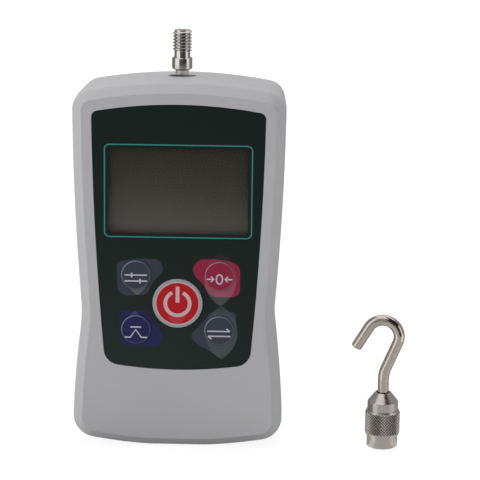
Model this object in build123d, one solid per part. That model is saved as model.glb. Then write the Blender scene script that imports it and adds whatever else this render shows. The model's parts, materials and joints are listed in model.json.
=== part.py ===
from build123d import *

import os
from math import cos, radians, sin, sqrt, tan

# Handheld digital force gauge, with its swivelling hook standing beside it.
# Millimetres. +Z runs up along the measuring shaft, the front faces -Y, and the
# origin is on the flat of the base, on the measuring axis.

# --- case -------------------------------------------------------------------
case_height = 116.0
shoulder_half_width = 33.0
waist_half_width = 30.0
waist_height = 42.2
hip_half_width = 33.15
foot_half_width = 9.0
top_arc_radius = 157.0
bottom_arc_radius = 158.0
upper_side_radius = 860.0
lower_side_radius = 312.0
top_corner_radius = 6.5
bottom_corner_radius = 7.4
waist_blend_radius = 50.0
front_depth = 11.5
rear_depth = 24.5
axis_to_front = 21.0
wall = 2.3
edge_chamfer = 3.0
bevel_outer_blend = 2.0
rear_edge_radius = 1.2
rear_draft = 0.64
foot_trim = 0.03

# --- front opening, window and display ----------------------------------------
recess_depth = 0.5
film_thickness = 0.35
film_top_margin = 6.5
film_bottom = 25.6
film_top_half_width = 26.75
film_mid_half_width = 25.3
film_mid_height = 64.0
film_bottom_half_width = 22.6
film_top_radius = 146.0
film_bottom_radius = 130.0
film_top_corner = 2.0
film_bottom_corner = 5.0
film_gap = 0.1
display_drop = 33.5
view_width = 43.2
view_height = 26.8
view_corner = 0.8
window_width = 47.4
window_height = 33.0
window_thickness = 1.2
module_gap = 0.2
bezel_wall = 0.5
bezel_lip = 1.4
lcd_thickness = 2.2
backlight_thickness = 2.8
strip_height = 2.4

# --- keys ---------------------------------------------------------------------
small_key_radius = 4.6
power_key_radius = 7.8
key_x = 13.0
upper_key_height = 55.9
lower_key_height = 38.4
power_key_height = 47.0
key_gap = 0.15
key_proud = 0.3
key_edge = 0.25
key_flange_lip = 0.9
key_flange_thickness = 1.0
key_flange_gap = 0.1
key_stem_radius = 1.4
key_travel = 0.4
contact_gap = 0.1
housing_side = 6.0
housing_height = 2.8
housing_clearance = 0.2
dome_thickness = 0.4

# --- main board -----------------------------------------------------------------
board_depth_in_case = 8.8
board_thickness = 1.6
board_half_width = 24.0
board_bottom = 28.5
board_top_margin = 15.5
board_corner = 1.5
board_screw_x = 21.3
board_screw_low = 31.8
board_screw_high = 63.1
board_screw_radius = 1.2
board_boss_radius = 2.2
screw_head_height = 1.4
screw_bite = 4.0
pilot_clearance = 0.1
chip_height = 35.0
chip_thickness = 1.2
processor_x = -13.0
processor_side = 10.0
memory_x = -1.5
memory_width = 5.0
memory_length = 8.0
buzzer_radius = 6.0
buzzer_height = 4.0
buzzer_hole_radius = 1.0
buzzer_x = 13.5
buzzer_z = 39.5
header_width = 8.0
header_height = 5.0
header_depth = 4.0
sensor_header_x = -16.5
sensor_header_drop = 8.5
battery_header_x = 19.5
battery_header_height = 51.5

# --- measuring shaft --------------------------------------------------------------
thread_radius = 3.0
thread_pitch = 1.0
thread_length = 6.0
thread_depth = 0.5
crest_width = 0.55
stud_tip_chamfer = 0.55
relief_radius = 2.5
relief_length = 2.1
collar_radius = 3.2
collar_length = 3.9
collar_edge = 0.6
collar_lift = 1.85
neck_radius = 2.1
guide_radius = 3.5
guide_clearance = 0.03
lower_thread_radius = 2.45
shaft_play = 0.3
lower_thread_length = 9.0
nut_flats = 8.0
nut_height = 4.5

# --- bush and seal in the top ------------------------------------------------------
shaft_hole_radius = 4.3
bush_radius = 5.0
bush_length = 8.0
bush_depth_below_top = 6.4
bush_boss_radius = 7.0
seal_thickness = 1.2
seal_clearance = 0.15

# --- load cell and chassis -----------------------------------------------------------
cell_width = 24.0
cell_depth = 10.0
cell_bottom = 54.0
cell_height = 36.0
cell_slot_height = 3.0
cell_slot_reach = 17.0
cell_slot_relief = 2.4
cell_arm = 10.0
cell_corner = 1.0
thread_clearance = 0.1
gauge_width = 4.0
gauge_height = 6.0
gauge_thickness = 0.2
chassis_half_width = 21.5
chassis_top_margin = 9.0
chassis_thickness = 2.0
chassis_corner = 2.0
foot_thickness = 4.0
foot_reach = 11.0
foot_bolt_radius = 3.0
foot_bolt_clearance = 0.3
bolt_head_radius = 5.0
bolt_head_height = 5.0
bolt_bite = 9.0
hex_socket_flats = 5.0
post_height = 1.3
post_radius = 3.0
chassis_screw_x = 8.0
chassis_screw_low = 60.5
chassis_screw_drop = 13.0
small_screw_radius = 1.25
small_head_radius = 2.3
rear_mount_x = 16.0
rear_mount_low = 58.0
rear_mount_spacing = 44.0
rear_mount_bore = 1.65
rear_bush_radius = 3.5
rear_bush_flange = 4.3
rear_bush_flange_thickness = 1.0
rear_bush_gap = 0.1
amplifier_half_width = 9.0
amplifier_bottom = 64.0
amplifier_top = 88.0
amplifier_thickness = 1.2
amplifier_standoff = 1.3
amplifier_screw_x = 6.8
amplifier_screw_inset = 2.4
standoff_radius = 1.9

# --- battery pack ----------------------------------------------------------------------
cell_radius = 7.2
cell_length = 48.0
cell_middle = 28.0
cell_spacing = 14.6
cell_gap = 0.15
cell_end_radius = 0.8
terminal_radius = 2.6
terminal_height = 1.2
tray_wall = 1.4
tray_floor = 0.7
tray_lip = 3.0
contact_strip = 0.4
contact_width = 7.0
tray_screw_x = 20.0
tray_screw_bite = 2.1
tray_pilot_depth = 2.4

# --- sockets in the underside -------------------------------------------------------------
socket_x = 15.5
socket_y = -5.2
jack_radius = 3.6
jack_bore = 2.6
jack_pin_radius = 0.95
jack_length = 8.0
data_width = 8.2
data_depth = 3.6
data_shell = 0.5
data_length = 7.4
data_tongue = 0.8
socket_gap = 0.2
socket_recess = 0.8
socket_board_thickness = 1.2
socket_board_half_width = 20.3
socket_board_depth = 6.2

# --- case screws -------------------------------------------------------------------------
case_screw_top_x = 25.6
case_screw_top_drop = 11.0
case_screw_low_x = 24.6
case_screw_low_height = 9.0
case_boss_radius = 3.4
case_screw_radius = 1.4
case_head_radius = 2.6
case_head_height = 2.0
case_screw_bite = 7.0
case_head_sink = 1.2
drive_slot_width = 0.8
drive_slot_length = 3.2
drive_slot_depth = 0.9

# --- leads --------------------------------------------------------------------------------
lead_radius = 0.7

# --- hook attachment ------------------------------------------------------------------------
hook_x = 65.0
hook_y = -14.8
hook_turn = -6.7
coupling_radius = 4.85
knurl_radius = 5.55
lower_land = 3.95
knurl_height = 8.0
upper_land = 2.85
cone_height = 2.9
cone_top_radius = 2.55
knurl_edge = 0.35
coupling_edge = 0.5
tap_radius = 2.5
tap_depth = 9.0
tap_chamfer = 0.5
tap_relief_radius = 2.9
tap_relief_height = 1.7
rod_radius = 1.75
rod_clearance = 0.05
rod_mouth_radius = 2.3
rod_mouth_depth = 0.6
spigot_radius = 1.3
rod_collar_radius = 2.4
rod_collar_height = 1.4
rod_collar_gap = 0.1
hook_slant = 22.6
hook_stem_bend = 9.3
hook_bow_radius = 5.16
hook_bow_x = -0.56
hook_bow_height = 35.95
hook_tip_angle = 30.6
hook_tip_length = 7.7
hook_tip_chamfer = 0.3

# --- values that follow from those above --------------------------------------------------------
film_top = case_height - film_top_margin
display_height = case_height - display_drop
board_top = case_height - board_top_margin
chassis_top = case_height - chassis_top_margin
chassis_screw_heights = (chassis_screw_low, case_height - chassis_screw_drop)
rear_mount_heights = (rear_mount_low, rear_mount_low + rear_mount_spacing)
case_screw_spots = (
    (case_screw_top_x, case_height - case_screw_top_drop),
    (case_screw_low_x, case_screw_low_height),
)
board_screw_heights = (board_screw_low, board_screw_high)
cell_heights = (cell_middle - cell_spacing / 2, cell_middle + cell_spacing / 2)
tray_half_height = cell_spacing / 2 + cell_radius + cell_gap + tray_floor
front = -axis_to_front
parting = front + front_depth
back = parting + rear_depth
front_inner = front + wall
back_inner = back - wall
film_back = front + recess_depth
film_front = film_back - film_thickness
board_front = front + board_depth_in_case
board_back = board_front + board_thickness
case_top_on_axis = case_height + 2 * rear_draft * parting / rear_depth
chassis_back = back_inner - post_height
chassis_front = chassis_back - chassis_thickness
cell_top = cell_bottom + cell_height
foot_bottom = cell_bottom - foot_thickness
window_back = film_back + window_thickness
bezel_front = window_back + module_gap / 2
collar_bottom = case_top_on_axis + collar_lift
collar_top = collar_bottom + collar_length
relief_top = collar_top + relief_length
stud_top = relief_top + thread_length + stud_tip_chamfer
bush_top = case_top_on_axis - bush_depth_below_top
bush_bottom = bush_top - bush_length
guide_top = bush_top + shaft_play
seal_bottom = guide_top + shaft_play + 0.4
coupling_height = lower_land + knurl_height + upper_land + cone_height
relief_ceiling = tap_depth + tap_relief_height
rod_foot = relief_ceiling - rod_collar_gap


def plane_at(y):
    """The plane at depth y, seen from the front: X to the right, Z up, normal -Y."""
    return Plane.XZ.offset(-y)


def slab(sketch, y_front, y_back):
    """A sketch seen from the front, as a solid between two depths."""
    return extrude(plane_at(y_back) * sketch, y_back - y_front)


def block(x_low, x_high, y_front, y_back, z_low, z_high):
    size = (x_high - x_low, y_back - y_front, z_high - z_low)
    return Pos(x_low, y_front, z_low) * Box(*size, align=(Align.MIN,) * 3)


def rod_y(radius, y_front, y_back, x, z):
    return slab(Pos(x, z) * Circle(radius), y_front, y_back)


def rod_z(radius, z_low, z_high, x=0.0, y=0.0):
    return Pos(x, y, z_low) * Cylinder(
        radius, z_high - z_low, align=(Align.CENTER, Align.CENTER, Align.MIN)
    )


def turned(points, x=0.0, y=0.0):
    """A solid of revolution about a vertical axis, from (radius, height) points."""
    profile = make_face(Polyline(*points, close=True))
    return Pos(x, y, 0) * revolve(Plane.XZ * profile, Axis.Z)


def edges_at(shape, y):
    """The edges of a shape that lie at one depth."""
    return shape.edges().filter_by_position(Axis.Y, y - 0.01, y + 0.01)


def corners(face, low, high, beyond=0.0):
    """The vertices of a front-view face between two heights and beyond a half width."""
    return [v for v in face.vertices() if low < v.Y < high and abs(v.X) > beyond]


def case_outline():
    """The case seen from the front: arched top, waisted sides, arched base with a flat."""
    arc_centre = sqrt(bottom_arc_radius**2 - foot_half_width**2)
    hip_height = arc_centre - sqrt(bottom_arc_radius**2 - hip_half_width**2)
    shoulder_drop = top_arc_radius - sqrt(top_arc_radius**2 - shoulder_half_width**2)
    shoulder = (shoulder_half_width, case_height - shoulder_drop)
    waist = (waist_half_width, waist_height)
    hip = (hip_half_width, hip_height)
    right = [
        RadiusArc((foot_half_width, 0), hip, -bottom_arc_radius),
        RadiusArc(hip, waist, -lower_side_radius),
        RadiusArc(waist, shoulder, -upper_side_radius),
        RadiusArc(shoulder, (0, case_height), -top_arc_radius),
    ]
    left = [mirror(edge, about=Plane.YZ) for edge in right]
    foot = Line((-foot_half_width, 0), (foot_half_width, 0))
    face = make_face([foot, *right, *left])
    face = fillet(corners(face, 0.87 * case_height, case_height, 0.9 * shoulder_half_width), top_corner_radius)
    face = fillet(corners(face, 0.88 * waist_height, 1.12 * waist_height), waist_blend_radius)
    return fillet(corners(face, 0, 0.35 * waist_height, 0.9 * shoulder_half_width), bottom_corner_radius)


def rear_outline():
    """The smaller outline at the back, set down so that the trimmed foot is level."""
    return Pos(0, -rear_draft - foot_trim) * offset(case_outline(), -rear_draft)


def film_outline(gap=0.0):
    """The membrane film seen from the front, larger all round by the gap."""
    top_radius, low_radius = film_top_radius + gap, film_bottom_radius + gap
    top_half, low_half = film_top_half_width + gap, film_bottom_half_width + gap
    top, bottom = film_top + gap, film_bottom - gap
    top_corner = (top_half, top - top_radius + sqrt(top_radius**2 - top_half**2))
    low_corner = (low_half, bottom + low_radius - sqrt(low_radius**2 - low_half**2))
    right = [
        RadiusArc((0, bottom), low_corner, -low_radius),
        ThreePointArc(low_corner, (film_mid_half_width + gap, film_mid_height), top_corner),
        RadiusArc(top_corner, (0, top), -top_radius),
    ]
    face = make_face([*right, *[mirror(edge, about=Plane.YZ) for edge in right]])
    face = fillet(corners(face, film_mid_height, case_height, 0.75 * film_top_half_width), film_top_corner + gap)
    return fillet(corners(face, 0, film_mid_height, 0.75 * film_bottom_half_width), film_bottom_corner + gap)


def key_spots():
    """Name, x, z and cap radius of each key."""
    return [
        ("key_set", -key_x, upper_key_height, small_key_radius),
        ("key_zero", key_x, upper_key_height, small_key_radius),
        ("key_peak", -key_x, lower_key_height, small_key_radius),
        ("key_unit", key_x, lower_key_height, small_key_radius),
        ("key_power", 0.0, power_key_height, power_key_radius),
    ]


def case_screw_places():
    return [(side * x, z) for x, z in case_screw_spots for side in (-1, 1)]


def board_screw_places():
    return [(side * board_screw_x, z) for z in board_screw_heights for side in (-1, 1)]


def rear_mount_places():
    return [(side * rear_mount_x, z) for z in rear_mount_heights for side in (-1, 1)]


def chassis_screw_places():
    return [(side * chassis_screw_x, z) for z in chassis_screw_heights for side in (-1, 1)]


def front_case():
    """Front shell: bevelled edge, film recess, display and key openings, screw bosses."""
    outline = case_outline()
    shell = slab(outline, front, parting)
    shell = chamfer(edges_at(shell, front), edge_chamfer)
    shell = fillet(edges_at(shell, front + edge_chamfer), bevel_outer_blend)
    shell -= slab(offset(outline, -wall), front_inner, parting)
    shell -= slab(film_outline(film_gap), front, film_back)
    opening = Pos(0, display_height) * Rectangle(
        window_width + 2 * module_gap, window_height + 2 * module_gap
    )
    shell -= slab(opening, film_back, front_inner)
    for _, x, z, radius in key_spots():
        shell -= rod_y(radius + key_gap, film_back, front_inner, x, z)
    for x, z in board_screw_places():
        shell += rod_y(board_boss_radius, front_inner, board_front, x, z)
        shell -= rod_y(
            board_screw_radius + pilot_clearance, board_front - screw_bite, board_front, x, z
        )
    for x, z in case_screw_places():
        shell += rod_y(case_boss_radius, front_inner, parting, x, z)
        shell -= rod_y(
            case_screw_radius + pilot_clearance, parting - case_screw_bite, parting, x, z
        )
    return shell


def rear_case():
    """Rear shell: drafted sides, shaft hole and bush boss, mounting holes, posts, sockets."""
    outline, far_outline = case_outline(), rear_outline()
    shell = loft([plane_at(parting) * outline, plane_at(back) * far_outline], ruled=True)
    shell = fillet(edges_at(shell, back), rear_edge_radius)
    shell -= block(-shoulder_half_width, shoulder_half_width, parting, back, -wall, 0)
    shell -= loft(
        [
            plane_at(parting) * offset(outline, -wall),
            plane_at(back_inner) * offset(far_outline, -wall),
        ],
        ruled=True,
    )
    shell += rod_z(bush_boss_radius, bush_bottom, case_top_on_axis - wall / 2)
    shell -= rod_z(shaft_hole_radius, bush_bottom, case_height)
    shell -= rod_z(bush_radius, bush_bottom, bush_top)
    for x, z in rear_mount_places():
        shell -= rod_y(rear_bush_radius + rear_bush_gap, back_inner, back, x, z)
    for x, z in chassis_screw_places():
        shell += rod_y(post_radius, chassis_back, back_inner, x, z)
        shell -= rod_y(
            small_screw_radius + pilot_clearance, chassis_back, chassis_back + 2.6, x, z
        )
    for x, z in case_screw_places():
        shell += rod_y(case_boss_radius, parting, back_inner, x, z)
        shell -= rod_y(case_screw_radius + 2 * pilot_clearance, parting, back, x, z)
        shell -= rod_y(case_head_radius + pilot_clearance, case_head_seat(), back, x, z)
    for side in (-1, 1):
        shell += rod_y(post_radius, tray_back(), back_inner, side * tray_screw_x, cell_middle)
        shell -= rod_y(
            small_screw_radius + pilot_clearance,
            tray_back(), tray_back() + tray_pilot_depth, side * tray_screw_x, cell_middle,
        )
    shell -= rod_z(jack_radius + socket_gap, -1, 2 * wall, -socket_x, socket_y)
    shell -= block(*data_span(socket_gap), -1, 2 * wall)
    return shell


def case_head_seat():
    """Depth of the shoulder that a case screw's head pulls against."""
    return back - case_head_sink - case_head_height


def cell_depth_position():
    """Depth of the battery cells' axes, which lie against the tray's back wall."""
    return tray_back() - tray_wall - cell_gap - cell_radius


def tray_back():
    return back_inner - post_height


def data_span(gap=0.0):
    """Plan extents of the data socket: x low, x high, y front, y back."""
    return (
        socket_x - data_width / 2 - gap, socket_x + data_width / 2 + gap,
        socket_y - data_depth / 2 - gap, socket_y + data_depth / 2 + gap,
    )


def keypad_overlay():
    """Membrane film in the front recess, cut out at the display and round each key."""
    view = Pos(0, display_height) * RectangleRounded(view_width, view_height, view_corner)
    film = slab(film_outline() - view, film_front, film_back)
    for _, x, z, radius in key_spots():
        film -= rod_y(radius + key_gap, film_front, film_back, x, z)
    return film


def display_window():
    pane = Pos(0, display_height) * Rectangle(window_width, window_height)
    return slab(pane, film_back, window_back)


def module_outline(shrink=0.0):
    return Pos(0, display_height) * Rectangle(
        window_width - 2 * shrink, window_height - 2 * shrink
    )


def display_bezel():
    """Pressed metal frame that holds the display down on the main board."""
    frame = slab(module_outline(), bezel_front, board_front)
    frame -= slab(module_outline(bezel_wall), bezel_front + bezel_wall, board_front)
    return frame - slab(module_outline(bezel_lip), bezel_front, bezel_front + bezel_wall)


def lcd_front():
    return bezel_front + bezel_wall


def lcd_glass():
    """Two glass plates; the front one is shorter, which leaves the contact ledge below."""
    plates = slab(module_outline(bezel_wall + module_gap), lcd_front(), lcd_front() + lcd_thickness)
    ledge = block(
        -window_width, window_width, lcd_front() + lcd_thickness / 2,
        lcd_front() + lcd_thickness, 0, display_height - window_height / 2 + strip_height,
    )
    return plates - ledge


def backlight_panel():
    start = lcd_front() + lcd_thickness
    panel = slab(module_outline(bezel_wall + module_gap), start, start + backlight_thickness)
    return panel - block(
        -window_width, window_width, start, board_front,
        0, display_height - window_height / 2 + strip_height + 2 * module_gap,
    )


def elastomer_strip():
    """Zebra strip from the glass's contact ledge to the main board."""
    half = window_width / 2 - 2 * bezel_lip
    low = display_height - window_height / 2 + bezel_wall + module_gap
    high = display_height - window_height / 2 + strip_height
    return block(-half, half, lcd_front() + lcd_thickness / 2, board_front, low, high)


def main_board():
    height = board_top - board_bottom
    plate = Pos(0, (board_top + board_bottom) / 2) * RectangleRounded(
        2 * board_half_width, height, board_corner
    )
    board = slab(plate, board_front, board_back)
    for x, z in board_screw_places():
        board -= rod_y(board_screw_radius + 2 * pilot_clearance, board_front, board_back, x, z)
    return board


def board_chips():
    """Processor and memory on the back of the main board."""
    chips = []
    for x, width, length in (
        (processor_x, processor_side, processor_side), (memory_x, memory_width, memory_length)
    ):
        chips.append(
            block(
                x - width / 2, x + width / 2, board_back, board_back + chip_thickness,
                chip_height, chip_height + length,
            )
        )
    return chips


def buzzer():
    buzzer_back = board_back + buzzer_height
    body = rod_y(buzzer_radius, board_back, buzzer_back, buzzer_x, buzzer_z)
    mouth_floor = board_back + buzzer_height / 2
    return body - rod_y(buzzer_hole_radius, mouth_floor, buzzer_back, buzzer_x, buzzer_z)


def header_spots():
    """Middle of each board header's lead entry: the sensor's, then the battery's."""
    return [
        (sensor_header_x, board_top - sensor_header_drop),
        (battery_header_x, battery_header_height),
    ]


def board_headers():
    """Lead sockets on the back of the main board, each with the bore its lead plugs into."""
    headers = []
    for x, z in header_spots():
        body = block(
            x - header_width / 2, x + header_width / 2, board_back, board_back + header_depth,
            z - header_height / 2, z + header_height / 2,
        )
        entry = rod_y(lead_radius, board_back + header_depth / 2, board_back + header_depth, x, z)
        headers.append(body - entry)
    return headers


def drive_cross():
    """The cross recess in a screw's head."""
    cross = Rectangle(drive_slot_length, drive_slot_width)
    return cross + Rectangle(drive_slot_width, drive_slot_length)


def screw(radius, head_radius, head_height, shank_front, head_front, x, z):
    """A pan-head screw driven from the back: its shank points to the front."""
    body = rod_y(radius, shank_front, head_front, x, z)
    body += rod_y(head_radius, head_front, head_front + head_height, x, z)
    head_back = head_front + head_height
    return body - slab(Pos(x, z) * drive_cross(), head_back - drive_slot_depth, head_back)


def board_screws():
    return [
        screw(
            board_screw_radius, small_head_radius, screw_head_height,
            board_front - screw_bite + 0.3, board_back, x, z,
        )
        for x, z in board_screw_places()
    ]


def case_screws():
    return [
        screw(
            case_screw_radius, case_head_radius, case_head_height,
            parting - case_screw_bite + 0.5, case_head_seat(), x, z,
        )
        for x, z in case_screw_places()
    ]


def contact_housings():
    """Square key contacts on the board, each open to the front for the key's stem."""
    housings = []
    for _, x, z, _ in key_spots():
        half = housing_side / 2
        mouth = board_front - housing_height
        body = block(x - half, x + half, mouth, board_front, z - half, z + half)
        bore = rod_y(key_stem_radius + housing_clearance, mouth, board_front, x, z)
        housings.append(body - bore)
    return housings


def contact_domes():
    """Thin snap discs on the board at the bottom of each housing."""
    return [
        rod_y(key_stem_radius, board_front - dome_thickness, board_front, x, z)
        for _, x, z, _ in key_spots()
    ]


def key(x, z, radius):
    """Key: rounded cap through the film, a flange behind the wall and a contact stem."""
    flange_front = front_inner + key_flange_gap
    flange_back = flange_front + key_flange_thickness
    stem_end = board_front - dome_thickness - contact_gap - key_travel
    cap = rod_y(radius, film_front - key_proud, flange_front, x, z)
    cap = fillet(edges_at(cap, film_front - key_proud), key_edge)
    cap += rod_y(radius + key_flange_lip, flange_front, flange_back, x, z)
    return cap + rod_y(key_stem_radius, flange_back, stem_end, x, z)


def measuring_shaft():
    """Shaft: lower thread, guide, neck, collar, relief and the ring-grooved M6 stud."""
    foot = cell_top - lower_thread_length
    shaft = turned(
        [
            (0, foot), (lower_thread_radius, foot),
            (lower_thread_radius, cell_top + nut_height + 1.0),
            (guide_radius, cell_top + nut_height + 1.0),
            (guide_radius, guide_top), (neck_radius, guide_top),
            (neck_radius, collar_bottom), (collar_radius - collar_edge, collar_bottom),
            (collar_radius, collar_bottom + collar_edge), (collar_radius, collar_top),
            (relief_radius, collar_top), (relief_radius, relief_top - 0.5),
            (thread_radius - thread_depth, relief_top),
            (thread_radius, relief_top), (thread_radius, stud_top - stud_tip_chamfer),
            (thread_radius - stud_tip_chamfer, stud_top), (0, stud_top),
        ]
    )
    groove_half = (thread_pitch - crest_width) / 2
    outside = thread_radius + 1
    for turn in range(round(thread_length / thread_pitch)):
        middle = relief_top + (turn + 0.5) * thread_pitch
        low, high = middle - groove_half, middle + groove_half
        shaft -= turned(
            [
                (thread_radius, low), (thread_radius - thread_depth, middle),
                (thread_radius, high), (outside, high), (outside, low),
            ]
        )
    return shaft


def shaft_lock_nut():
    """Hexagon nut that locks the shaft in the load cell."""
    hexagon = RegularPolygon(nut_flats / 2, 6, major_radius=False)
    nut = Pos(0, 0, cell_top) * extrude(hexagon, nut_height)
    return nut - rod_z(lower_thread_radius + thread_clearance, cell_top, cell_top + nut_height)


def guide_bush():
    bush = rod_z(bush_radius, bush_bottom, bush_top)
    return bush - rod_z(guide_radius + guide_clearance, bush_bottom, bush_top)


def shaft_seal():
    ring = rod_z(shaft_hole_radius, seal_bottom, seal_bottom + seal_thickness)
    return ring - rod_z(neck_radius + seal_clearance, seal_bottom, seal_bottom + seal_thickness)


def load_cell():
    """S-shaped beam: two slots from opposite sides leave three bending arms."""
    half = cell_width / 2
    body = block(-half, half, -cell_depth / 2, cell_depth / 2, cell_bottom, cell_top)
    body = fillet(body.edges().filter_by(Axis.Y), cell_corner)
    for side, low in ((-1, cell_bottom + cell_arm), (1, cell_top - cell_arm - cell_slot_height)):
        inner = side * half - side * cell_slot_reach
        x_low, x_high = sorted((inner, side * (half + 1)))
        body -= block(x_low, x_high, -cell_depth, cell_depth, low, low + cell_slot_height)
        relief_height = low + cell_slot_height / 2
        body -= rod_y(cell_slot_relief, -cell_depth, cell_depth, inner, relief_height)
    shaft_bore = lower_thread_radius + thread_clearance
    body -= rod_z(shaft_bore, cell_top - lower_thread_length, cell_top)
    return body - rod_z(foot_bolt_radius + thread_clearance, cell_bottom, cell_bottom + bolt_bite)


def strain_gauges():
    """Foil gauges bonded on the front and back of the middle arm."""
    middle = (cell_bottom + cell_top) / 2
    gauges = []
    for x in (-gauge_width, gauge_width):
        for y_front in (-cell_depth / 2 - gauge_thickness, cell_depth / 2):
            gauges.append(
                block(
                    x - gauge_width / 2, x + gauge_width / 2, y_front, y_front + gauge_thickness,
                    middle - gauge_height / 2, middle + gauge_height / 2,
                )
            )
    return gauges


def load_cell_bolt():
    """Socket-head bolt from under the chassis foot into the load cell."""
    shank = rod_z(foot_bolt_radius, foot_bottom, cell_bottom + bolt_bite - 0.5)
    head = rod_z(bolt_head_radius, foot_bottom - bolt_head_height, foot_bottom)
    socket = RegularPolygon(hex_socket_flats / 2, 6, major_radius=False)
    depth = bolt_head_height / 2
    return shank + head - Pos(0, 0, foot_bottom - bolt_head_height) * extrude(socket, depth)


def chassis():
    """Steel back plate, with the foot that carries the load cell."""
    height = chassis_top - foot_bottom
    plate = Pos(0, foot_bottom + height / 2) * RectangleRounded(
        2 * chassis_half_width, height, chassis_corner
    )
    frame = slab(plate, chassis_front, chassis_back)
    frame += block(
        -foot_reach, foot_reach, -cell_depth / 2 - 1, chassis_front, foot_bottom, cell_bottom
    )
    frame -= rod_z(foot_bolt_radius + foot_bolt_clearance, foot_bottom - 1, cell_bottom + 1)
    for x, z in rear_mount_places():
        frame -= rod_y(rear_bush_radius, chassis_front, chassis_back, x, z)
    for x, z in chassis_screw_places():
        frame -= rod_y(small_screw_radius + pilot_clearance, chassis_front, chassis_back, x, z)
    for x, z in amplifier_screw_places():
        frame -= rod_y(small_screw_radius + pilot_clearance, chassis_front, chassis_back, x, z)
    return frame


def chassis_screws():
    """Screws from the front of the plate into the rear shell's posts."""
    screws = []
    for x, z in chassis_screw_places():
        shank = rod_y(small_screw_radius, chassis_front, chassis_back + 2.3, x, z)
        head = rod_y(small_head_radius, chassis_front - screw_head_height, chassis_front, x, z)
        head_front = chassis_front - screw_head_height
        slot = slab(Pos(x, z) * drive_cross(), head_front, head_front + drive_slot_depth)
        screws.append(shank + head - slot)
    return screws


def mount_bushes():
    """Flanged threaded bushes, pressed in the chassis and flush with the back."""
    bushes = []
    for x, z in rear_mount_places():
        flange_front = chassis_front - rear_bush_flange_thickness
        bush = rod_y(rear_bush_flange, flange_front, chassis_front, x, z)
        bush += rod_y(rear_bush_radius, chassis_front, back, x, z)
        bushes.append(bush - rod_y(rear_mount_bore, flange_front, back, x, z))
    return bushes


def amplifier_back():
    return chassis_front - amplifier_standoff


def amplifier_screw_places():
    low = amplifier_bottom + amplifier_screw_inset
    high = amplifier_top - amplifier_screw_inset
    return [(-amplifier_screw_x, high), (amplifier_screw_x, low)]


def amplifier_board():
    """Small board behind the load cell that amplifies the gauges' signal."""
    y_back = amplifier_back()
    y_front = y_back - amplifier_thickness
    plate = block(
        -amplifier_half_width, amplifier_half_width, y_front, y_back,
        amplifier_bottom, amplifier_top,
    )
    for x, z in amplifier_screw_places():
        plate -= rod_y(small_screw_radius + pilot_clearance, y_front, y_back, x, z)
    return plate


def amplifier_spacers():
    return [
        rod_y(standoff_radius, amplifier_back(), chassis_front, x, z)
        - rod_y(small_screw_radius + pilot_clearance, amplifier_back(), chassis_front, x, z)
        for x, z in amplifier_screw_places()
    ]


def amplifier_screws():
    head_front = amplifier_back() - amplifier_thickness - 0.6
    screws = []
    for x, z in amplifier_screw_places():
        shank = rod_y(small_screw_radius, head_front, chassis_back, x, z)
        screws.append(shank + rod_y(standoff_radius, head_front, head_front + 0.6, x, z))
    return screws


def battery_cells():
    """Two rechargeable cells lying across the case, each with its raised terminal."""
    cells = []
    for direction, z in zip((1, -1), cell_heights):
        body = Rot(0, 90, 0) * Cylinder(cell_radius, cell_length)
        body = fillet(body.edges().filter_by(GeomType.CIRCLE), cell_end_radius)
        end = direction * (cell_length + terminal_height) / 2
        terminal = Pos(end, 0, 0) * Rot(0, 90, 0) * Cylinder(terminal_radius, terminal_height)
        cells.append(Pos(0, cell_depth_position(), z) * (body + terminal))
    return cells


def battery_tray():
    """Open-fronted tray that carries the cells on the rear shell's posts."""
    half = cell_length / 2 + terminal_height + contact_strip
    low, high = cell_middle - tray_half_height, cell_middle + tray_half_height
    y_back, y_floor = tray_back(), tray_back() - tray_wall
    y_front = cell_depth_position() - cell_radius + tray_lip
    outer = block(-half - tray_wall, half + tray_wall, y_front, y_back, low, high)
    inner = block(-half, half, y_front, y_floor, low + tray_floor, high - tray_floor)
    tray = outer - inner
    for z in cell_heights:
        rib_low, rib_high = z - cell_radius + cell_gap, z + cell_radius - cell_gap
        rib = block(-1, 1, cell_depth_position() + cell_radius / 2, y_floor, rib_low, rib_high)
        cradle = Rot(0, 90, 0) * Cylinder(cell_radius + cell_gap, cell_length)
        rib -= Pos(0, cell_depth_position(), z) * cradle
        tray += [Pos(x, 0, 0) * rib for x in (-cell_length / 4, cell_length / 4)]
    for side in (-1, 1):
        tray -= rod_y(
            small_screw_radius + pilot_clearance, y_back - tray_wall, y_back,
            side * tray_screw_x, cell_middle,
        )
    return tray


def battery_contacts():
    """Sprung strips on the tray's end walls, one at each end of each cell."""
    strips = []
    inner_end = cell_length / 2 + terminal_height
    for side in (-1, 1):
        for z in cell_heights:
            x_low, x_high = sorted((side * inner_end, side * (inner_end + contact_strip)))
            strips.append(
                block(
                    x_low, x_high, cell_depth_position() - contact_width / 2,
                    cell_depth_position() + contact_width / 2,
                    z - contact_width / 2, z + contact_width / 2,
                )
            )
    return strips


def tray_screws():
    screws = []
    for side in (-1, 1):
        x, z = side * tray_screw_x, cell_middle
        face = tray_back() - tray_wall
        shank = rod_y(small_screw_radius, face, tray_back() + tray_screw_bite, x, z)
        screws.append(shank + rod_y(small_head_radius, face - 0.9, face, x, z))
    return screws


def underside_at(x):
    """Height of the arched underside at a distance from the middle."""
    arc_centre = sqrt(bottom_arc_radius**2 - foot_half_width**2)
    return max(0.0, arc_centre - sqrt(bottom_arc_radius**2 - x**2))


def socket_bottom():
    return underside_at(socket_x) + socket_recess


def socket_board_bottom():
    return socket_bottom() + jack_length


def charging_jack():
    """Round power socket: a sleeve open below, with a centre pin."""
    low, high = socket_bottom(), socket_board_bottom()
    sleeve = rod_z(jack_radius, low, high, -socket_x, socket_y)
    sleeve -= rod_z(jack_bore, low, high - 1.2, -socket_x, socket_y)
    return sleeve + rod_z(jack_pin_radius, low + 0.8, high, -socket_x, socket_y)


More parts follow.
